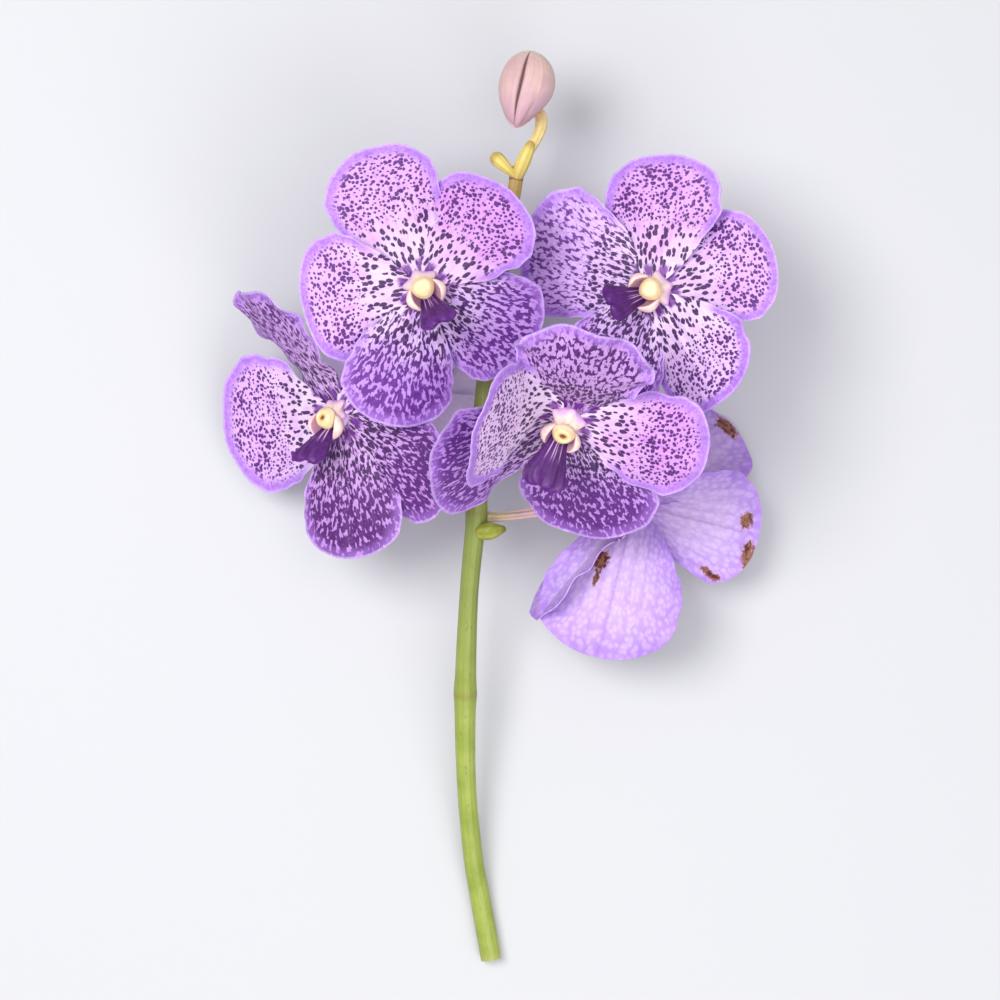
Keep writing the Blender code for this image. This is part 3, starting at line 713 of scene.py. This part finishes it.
def blade_points(spec, lift, phase, frill, across, along):
    """Places of a blade's grid in its bloom, in mm, with the ruffles that the solids leave out."""
    turn, length, width, lean, curl, roll, claw = spec
    half = across * width / 2.0 * (claw + BLADE_SWELL * along ** 0.8) / width_scale(claw)
    middle = (np.arange(80) + 0.5) / 80.0
    slopes = math.radians(lean) * smooth_step(middle / 0.25) - math.radians(curl) * middle
    marks = np.linspace(0.0, 1.0, 81)
    reach = np.interp(along, marks, BLADE_START + np.concatenate(([0.0], np.cumsum(np.cos(slopes)))) * length / 80.0)
    height = np.interp(along, marks, np.concatenate(([0.0], np.cumsum(np.sin(slopes)))) * length / 80.0) + lift
    slope = math.radians(lean) * smooth_step(along / 0.25) - math.radians(curl) * along
    side = np.abs(across)
    wave = EDGE_WAVE * side ** 3 * smooth_step(along / 0.4) * np.sin(14.0 * along + phase + np.copysign(1.3, across))
    ruffle = frill * side ** 4 * smooth_step(along / 0.4) * np.sin(27.0 * along + 2.3 * phase + 2.0 * across)
    tip = smooth_step((along - 0.55) / 0.45)
    ruffle = ruffle + frill * tip * np.sin(9.0 * across + phase) * smooth_step(np.hypot(across, 2.0 * along - 1.0))
    raised = wave + ruffle - BLADE_CUP * across * across * smooth_step(along / 0.5)
    # A shallow groove down the middle and faint pleats beside it.
    raised -= 0.40 * np.exp(-(half / 1.3) ** 2) * smooth_step(along / 0.2) * (1.0 - 0.6 * along)
    raised += 0.16 * np.cos(half * 1.15 + phase) * smooth_step(along / 0.3) * (1.0 - side)
    half = half * (1.0 + 0.017 * np.sin(19.0 * along + phase) + 0.011 * np.sin(43.0 * along + 2.0 * phase + across))
    turn = math.radians(turn)
    outward = np.array((math.cos(turn), math.sin(turn), 0.0))
    sideways = np.array((-math.sin(turn), math.cos(turn), 0.0))
    upright = np.array((0.0, 0.0, 1.0))
    roll = math.radians(roll) * smooth_step(along / 0.35)
    face = np.cos(slope)[:, None] * upright - np.sin(slope)[:, None] * outward
    rolled_side = np.cos(roll)[:, None] * sideways + np.sin(roll)[:, None] * face
    rolled_face = np.cos(roll)[:, None] * face - np.sin(roll)[:, None] * sideways
    return (reach[:, None] * outward + height[:, None] * upright
            + half[:, None] * rolled_side + raised[:, None] * rolled_face)


def scar_amount(scars, across, along):
    amount = np.zeros(len(across))
    for place_across, place_along, size_across, size_along in scars:
        far = np.hypot((across - place_across) / size_across, (along - place_along) / size_along)
        amount = np.maximum(amount, np.clip(1.35 - 0.85 * far, 0.0, 1.0))
    return amount


def make_tepals(name, bloom, number, materials):
    """All five blades of a bloom in one mesh, thin at their edges, on a small hub."""
    axes = bloom_axes(bloom)
    bm = bmesh.new()
    for _ in bloom["blades"]:
        bmesh.ops.create_grid(bm, x_segments=GRID_ACROSS, y_segments=GRID_ALONG, size=1.0)
    mesh = bpy.data.meshes.new("tepals_" + name)
    bm.to_mesh(mesh)
    bm.free()
    flat = np.empty(len(mesh.vertices) * 3)
    mesh.vertices.foreach_get("co", flat)
    flat = flat.reshape(-1, 3)
    share = len(flat) // len(bloom["blades"])
    places = np.empty_like(flat)
    sizes = np.empty_like(flat)
    scars = np.zeros_like(flat)
    points = np.empty_like(flat)
    for index, (part, spec) in enumerate(bloom["blades"].items()):
        rows = slice(index * share, (index + 1) * share)
        u = -flat[rows, 0]
        v = flat[rows, 1]
        across = u * np.sqrt(1.0 - v * v / 2.0)
        along = (1.0 + v * np.sqrt(1.0 - u * u / 2.0)) / 2.0
        lift = PETAL_LIFT if part.endswith("petal") else SEPAL_DROP
        points[rows] = blade_points(spec, lift, 1.7 * index + number, FRILL_OF.get((name, part), 0.6), across, along)
        places[rows] = np.stack((across, along, np.full(share, DEPTH_OF.get((name, part), DEPTH[part]))), axis=1)
        sizes[rows] = np.stack((across * spec[2] / 2.0, along * spec[1], np.full(share, 5.0 * number + index)), axis=1)
        scars[rows, 0] = scar_amount(SCARS.get((name, part), []), across, along)
        # The rear bloom gets -1 here, so its backs are painted paler: painted light where they lie in shade.
        scars[rows, 1] = BLUSH_OF.get((name, part), -1.0 if name == "middle_back" else 0.0)
    mesh.vertices.foreach_set("co", to_origin(in_bloom(points, axes)).ravel())
    for label, values in (("blade_place", places), ("blade_mm", sizes), ("blade_scar_blush_and_painted_lift", scars)):
        layer = mesh.attributes.new(label, "FLOAT_VECTOR", "POINT")
        layer.data.foreach_set("vector", values.ravel())
    item = bpy.data.objects.new("thin_" + name, mesh)
    bpy.context.scene.collection.objects.link(item)
    group = item.vertex_groups.new(name="thickness")
    ring = np.hypot(places[:, 0], 2.0 * places[:, 1] - 1.0)
    weights = np.round(1.0 - 0.55 * smooth_step((ring - 0.55) / 0.45), 2)
    for weight in np.unique(weights):
        group.add(np.flatnonzero(weights == weight).tolist(), float(weight), "REPLACE")
    solid = item.modifiers.new("Thickness", "SOLIDIFY")
    solid.thickness = BLADE_THICKNESS * MM
    solid.offset = 0.0
    solid.vertex_group = "thickness"
    solid.material_offset = 1
    solid.material_offset_rim = 0
    mesh.materials.append(materials["front"])
    mesh.materials.append(materials["back"])
    graph = bpy.context.evaluated_depsgraph_get()
    done = bpy.data.meshes.new_from_object(item.evaluated_get(graph))
    bpy.data.objects.remove(item, do_unlink=True)
    hub = ball(axes, (0.0, 0.0, -0.4), (HUB_RADIUS, HUB_RADIUS, HUB_HALF_HEIGHT), None, 0)
    neck = ball(axes, (0.0, 0.0, -3.2), (2.7, 2.7, 3.6), None, 1)
    whole = join_shells("tepals_" + name, [done, hub, neck])
    return add_piece("tepals_" + name + "_look", whole, "tepals_" + name, (materials["front"], materials["back"]))


def turned_axes(name, axes):
    """A bloom's axes, turned about the way it faces where its lip stands askew."""
    centre, right, up, forward = axes
    turn = math.radians(LIP_TURN_OF.get(name, 0.0))
    return (centre, right * math.cos(turn) + up * math.sin(turn), up * math.cos(turn) - right * math.sin(turn), forward)


def lip_rings(name):
    """The tongue of a bloom: fluted, with raised lines at its top and a notch in its end."""
    share = np.linspace(0.0, 1.0, 45)[:, None]
    t = 1.0 - (1.0 - share) ** 1.5
    around = np.linspace(0.0, 2.0 * math.pi, 49)[None, :]
    across = np.cos(around)
    face = np.sin(around)
    lean = math.radians(LIP_LEAN_OF.get(name, LIP_LEAN))
    curl = math.radians(LIP_CURL)
    slope = lean - curl * t
    length = LIP_LENGTH * LIP_SIZE_OF.get(name, 1.0)
    reach = LIP_START + length * (math.sin(lean) - np.sin(slope)) / curl
    height = 3.4 + length * (np.cos(slope) - math.cos(lean)) / curl
    outline = np.sqrt(np.clip(1.0 - np.clip((t - 0.72) / 0.28, 0.0, 1.0) ** 3.0, 0.0, 1.0))
    outline = outline * np.sqrt(np.clip(1.0 - np.clip((0.12 - t) / 0.12, 0.0, 1.0) ** 2, 0.0, 1.0))
    half = LIP_WIDTH / 2.0 * LIP_SIZE_OF.get(name, 1.0) * (0.40 + 0.62 * smooth_step(t / 0.95)) * outline
    x = half * across
    thick = LIP_THICKNESS / 2.0 * (1.0 - 0.35 * t) * np.sqrt(outline)
    top = thick * np.sign(face) * np.abs(face) ** 0.7
    flutes = 0.22 * np.cos(across * 15.0) * smooth_step(t / 0.3) * outline
    ridges = (np.exp(-((np.abs(x) - 1.3) / 0.55) ** 2) * 0.9 + np.exp(-(x / 0.45) ** 2) * 0.5) * (1.0 - smooth_step((t - 0.25) / 0.3))
    top = top + np.where(face > 0.0, face * (flutes + ridges), 0.0)
    top = top - 1.0 * across * across * smooth_step(t / 0.5) * outline - 0.5 * np.exp(-(across / 0.2) ** 2) * smooth_step((t - 0.4) / 0.4)
    top = top + 0.9 * np.sin(2.6 * math.pi * np.abs(across) - 0.6) * smooth_step((t - 0.6) / 0.4) * outline
    back = 2.0 * np.exp(-(across * outline / 0.35) ** 2) * smooth_step((t - 0.5) / 0.5)
    along = reach - np.sin(slope) * top - np.cos(slope) * back
    up = height + np.cos(slope) * top - np.sin(slope) * back
    rings = np.stack((x, -along, up), axis=2)
    places = np.stack(np.broadcast_arrays(across, face, t), axis=2)
    return rings, places


def make_lip(name, axes, material):
    rings, places = lip_rings(name)
    flat = in_bloom(rings.reshape(-1, 3), turned_axes(name, axes)).reshape(rings.shape)
    mesh = join_shells("lip_" + name, [shell(flat, places)])
    add_piece("lip_" + name + "_look", mesh, "lip_" + name, (material,))


def ear_shape(side):
    """A cupped lobe that leans in towards the tongue and opens to the front."""
    def shape(x, y, z):
        bend = 1.15 * (y * y + z * z) + 0.45 * np.clip(-y, 0.0, 1.0) - 1.2 * z
        return np.stack((x - side * bend, y, z), axis=2)
    return shape


def ear_inside(side):
    def amount(x, y, z):
        return np.clip(-side * x * 1.5, 0.0, 1.0)
    return amount


def body_shape(x, y, z):
    """Broad and low behind, drawn out into five ribs, narrow where it meets the cap."""
    ribs = (0.5 + 0.5 * np.cos(5.0 * (np.arctan2(y, x) - math.pi / 2.0))) ** 1.5
    reach = ribs * np.exp(-((z + 0.05) / 0.38) ** 2)
    flare = 0.94 - 0.20 * z + 0.42 * reach
    shoulder = 0.16 * np.exp(-((np.abs(x) - 0.75) / 0.3) ** 2) - 0.22 * reach
    ridge = 0.12 * np.exp(-(x / 0.16) ** 2) * np.clip(y, 0.0, 1.0)
    return np.stack((x * flare, y * flare - 0.55 * z, z + shoulder + ridge), axis=2)


def cap_hollow(strength):
    def amount(x, y, z):
        return strength * np.exp(-((x + 0.3 * y) / 0.46) ** 2 - ((y - 0.06 - 0.2 * x) / 0.36) ** 2) * (z > 0.0)
    return amount


def cap_shape(strength):
    """Round cap with a low collar, and a hollow in its face."""
    def shape(x, y, z):
        beak = 0.16 * np.clip(-y, 0.0, 1.0) ** 3
        far = np.hypot(x, y - 0.06)
        collar = 0.05 * np.exp(-((far - 0.58) / 0.14) ** 2) * (z > 0.0) * (1.0 + 0.8 * np.sin(3.0 * x + 2.0 * y))
        return np.stack((x * (1.0 + 0.05 * y), y - beak, z + collar - 0.42 * cap_hollow(strength)(x, y, z)), axis=2)
    return shape


def make_column(name, axes, materials):
    """Arched column with its round cap, and the two ears at the root of the lip."""
    strength = HOLLOW_OF.get(name, 0.3)
    body = ball(axes, (0.0, 1.5, 2.8), (5.2, 3.8, 4.0), body_shape, 0, 48, 28)
    cap = ball(axes, (0.0, -0.2, 8.0), (4.3, 3.9, 3.1), cap_shape(strength), 1, 48, 40, cap_hollow(strength))
    askew = turned_axes(name, axes)
    ears = [ball(askew, (side * 5.7, -3.4, 6.4), (1.7, 4.7, 3.8), ear_shape(side), 2, 32, 20, ear_inside(side))
            for side in (-1.0, 1.0)]
    mesh = join_shells("column_" + name, [body, cap] + ears)
    add_piece("column_" + name + "_look", mesh, "column_" + name, materials)


def stem_at(along):
    """Middle and radius of the stem at a distance along +Y."""
    marks = np.array(STEM_LINE)
    return np.array([np.interp(along, marks[:, 1], marks[:, k]) for k in range(4)])


def make_stalk(name, bloom, axes, material):
    centre, _, _, forward = axes
    stem = stem_at(bloom["node"][1])
    top = centre - STALK_TOP_DEPTH * forward
    away = top - stem[:3]
    away[1] = 0.0
    away[2] += bloom["rise"]
    away = unit(away)
    foot = stem[:3] + away * (stem[3] + CONTACT_GAP)
    reach = 0.38 * np.linalg.norm(top - foot)
    first = foot + away * reach
    second = top - forward * reach * 0.9
    t = np.linspace(0.0, 1.0, 49)[:, None]
    points = ((1 - t) ** 3 * foot + 3 * (1 - t) ** 2 * t * first + 3 * (1 - t) * t * t * second + t ** 3 * top)
    radius = STALK_RADIUS * (0.95 + 0.35 * t) * (1.0 + 0.25 * np.exp(-(t / 0.03) ** 2))
    line = np.concatenate((points, radius), axis=1)

    def ribs(turn, along):
        return 0.07 * np.sin(6.0 * turn + 5.0 * along) * smooth_step(along / 0.2)

    mesh = join_shells("stalk_" + name, [tube(line, 48, ribs, 0, (0.35, 0.3))])
    add_piece("stalk_" + name + "_look", mesh, "stalk_" + name, (material,))


def bract(root, tip, width, slot, blunt=0.0):
    t = np.linspace(0.0, 1.0, 25)[:, None]
    points = np.array(root) + (np.array(tip) - np.array(root)) * t
    points[:, 2:] += 1.6 * np.sin(math.pi * t)
    radius = width / 2.0 * (0.35 + 0.65 * np.sin(math.pi * np.minimum(1.0, 0.25 + 0.72 * t)))
    radius = radius * (1.0 - blunt) + blunt * width / 2.0 * (0.42 + 0.5 * smooth_step(t))

    def keel(turn, along):
        return 0.05 * np.cos(turn) ** 8 + 0.03 * np.sin(9.0 * turn) * along

    return tube(np.concatenate((points, radius), axis=1), 28, keel, slot, (0.5, 0.9))


def make_stem(materials):
    line = smooth_line(STEM_LINE, 10)
    line[:, 2] = np.maximum(line[:, 2], STEM_LINE[0][2])
    nodes = np.interp(STEM_NODES, line[:, 1], np.linspace(0.0, 1.0, len(line)))

    def swell(turn, along):
        rise = sum(np.exp(-((along - node) / 0.009) ** 2) for node in nodes)
        flat = 0.012 * np.sin(12.0 * turn) + 0.015 * np.sin(3.0 * turn + 9.0 * along)
        return (0.11 * rise + flat) * smooth_step((along - 0.12) / 0.1)

    shells = [
        tube(line, 48, swell, 0, (0.0, 0.5)),
        bract((-2.5, 160.3, 42.6), (6.0, 161.5, 43.0), 6.6, 1),
        bract((11.6, 295.5, 45.4), (16.4, 307.0, 48.0), 6.2, 2, 0.3),
        bract((10.8, 295.0, 45.2), (3.6, 302.0, 45.6), 6.0, 2, 0.95)]
    mesh = join_shells("flower_stem", shells)
    add_piece("flower_stem_look", mesh, "flower_stem", materials)


def make_bud(material, stalk_material):
    """Closed bud: one deep cleft, two soft overlaps, and lobes that end at unlike heights."""
    tilt = math.radians(BUD_TILT)
    fall = np.linspace(0.0, math.pi, 73)[:, None]
    turn = np.linspace(0.0, 2.0 * math.pi, 145)[None, :] + BUD_CLEFT
    x = np.sin(fall) * np.cos(turn)
    y = np.sin(fall) * np.sin(turn)
    z = np.broadcast_to(np.cos(fall), x.shape)
    beyond = np.broadcast_to(turn - BUD_CLEFT, x.shape)
    low = smooth_step((0.2 - z) / 1.2)
    cleft = np.exp(-(np.minimum(beyond, 2.0 * math.pi - beyond) / 0.085) ** 2) * np.sin(fall) ** 0.5
    overlap = smooth_step((beyond - 0.62) / 0.10) * smooth_step((2.2 - beyond) / 0.3)
    left = smooth_step((beyond - 4.4) / 0.3)
    groove = 1.0 - 0.16 * cleft - 0.045 * (1.0 - overlap) * np.sin(fall)
    narrow = groove * (1.0 - (0.30 - 0.14 * overlap) * np.clip(-z, 0.0, 1.0) ** 2)
    height = 0.15 + z * np.where(z > 0.0, 0.85, 1.15) + low * (0.28 * overlap + 0.12 * left) * np.sin(fall) ** 0.3
    p = np.stack((x * BUD_WIDTH / 2.0 * narrow, height * BUD_LENGTH / 2.0, -y * BUD_DEPTH / 2.0 * narrow), axis=2)
    p[..., 0] -= 1.4 * low * (1.0 - overlap)
    turned = np.stack((p[..., 0] * math.cos(tilt) + p[..., 1] * math.sin(tilt),
                       p[..., 1] * math.cos(tilt) - p[..., 0] * math.sin(tilt), p[..., 2]), axis=2)
    places = np.stack(np.broadcast_arrays(np.cos(turn), np.sin(turn), fall / math.pi), axis=2)
    # Its skin_hollow values mark the cleft and the overlap edges, where bud_skin paints shade.
    mesh = join_shells("bud", [shell(turned + np.array(BUD_CENTRE), places, 0, np.maximum(cleft, 0.5 * (1.0 - overlap) * overlap * 4.0))])
    add_piece("bud_look", mesh, "bud", (material,))
    line = smooth_line([
        (12.0, 299.0, 42.6, 2.1), (14.0, 303.0, 40.6, 2.0), (17.4, 308.0, 38.0, 2.1),
        (20.2, 314.0, 36.4, 2.3), (20.6, 318.4, 38.4, 2.3), (18.9, 320.6, 42.4, 2.1)], 10)

    def ribs(turn, along):
        return 0.04 * np.sin(6.0 * turn + 3.0 * along)

    mesh = join_shells("bud_stalk", [tube(line, 32, ribs, 0, (0.2, 0.3))])
    add_piece("bud_stalk_look", mesh, "bud_stalk", (stalk_material,))


def make_stage():
    """Plain pale floor and soft studio light, seen from straight above."""
    bpy.ops.mesh.primitive_plane_add(size=6.0, location=(0.0, 0.0, -0.0002))
    floor = bpy.context.object
    floor.name = "floor"
    paint = Paint("floor_paint", 0.85, 0.2)
    paint.colour(srgb(206, 206, 209))
    floor.data.materials.append(paint.material)
    for label, place, size, power in (
            ("key", (-0.55, 0.25, 1.30), 0.7, 13.0), ("fill", (0.45, -0.85, 1.1), 1.2, 9.0),
            ("top", (0.1, 0.1, 1.7), 1.2, 8.0)):
        lamp = bpy.data.lights.new(label, "AREA")
        lamp.shape = "DISK"
        lamp.size = size
        lamp.energy = power
        item = bpy.data.objects.new(label, lamp)
        item.location = place
        item.rotation_euler = (Vector((0.0, 0.0, 0.04)) - Vector(place)).to_track_quat("-Z", "Y").to_euler()
        bpy.context.scene.collection.objects.link(item)
    world = bpy.data.worlds.new("studio")
    world.use_nodes = True
    world.node_tree.nodes["Background"].inputs["Color"].default_value = (0.93, 0.96, 1.0, 1.0)
    world.node_tree.nodes["Background"].inputs["Strength"].default_value = 0.42
    bpy.context.scene.world = world
    lens = bpy.data.cameras.new("camera")
    lens.sensor_width = 36.0
    lens.lens = 36.0 * 1879.3 / 645.0
    lens.clip_start = 0.05
    view = bpy.data.objects.new("camera", lens)
    view.location = to_origin(np.array((4.9, 172.6, 1150.0)))
    bpy.context.scene.collection.objects.link(view)
    bpy.context.scene.camera = view
    bpy.context.scene.view_settings.view_transform = "Standard"


def main():
    materials = {"front": petal_front(), "back": petal_back()}
    lip = lip_skin()
    column = (column_skin(), cap_skin(), ear_skin())
    stalk = stalk_skin()
    for number, (name, bloom) in enumerate(BLOOMS.items()):
        axes = bloom_axes(bloom)
        make_tepals(name, bloom, number, materials)
        make_lip(name, axes, lip)
        make_column(name, axes, column)
        make_stalk(name, bloom, axes, stalk)
    green = scale_skin("low_scale_skin", ((140, 146, 50), (168, 172, 70)), (120, 112, 44))
    yellow = scale_skin("bud_scale_skin", ((236, 212, 112), (218, 202, 120)), (186, 158, 80))
    make_stem((stem_skin(), green, yellow))
    make_bud(bud_skin(), scale_skin("bud_stalk_skin", ((244, 222, 152), (236, 206, 140)), (214, 170, 120)))
    make_stage()


main()
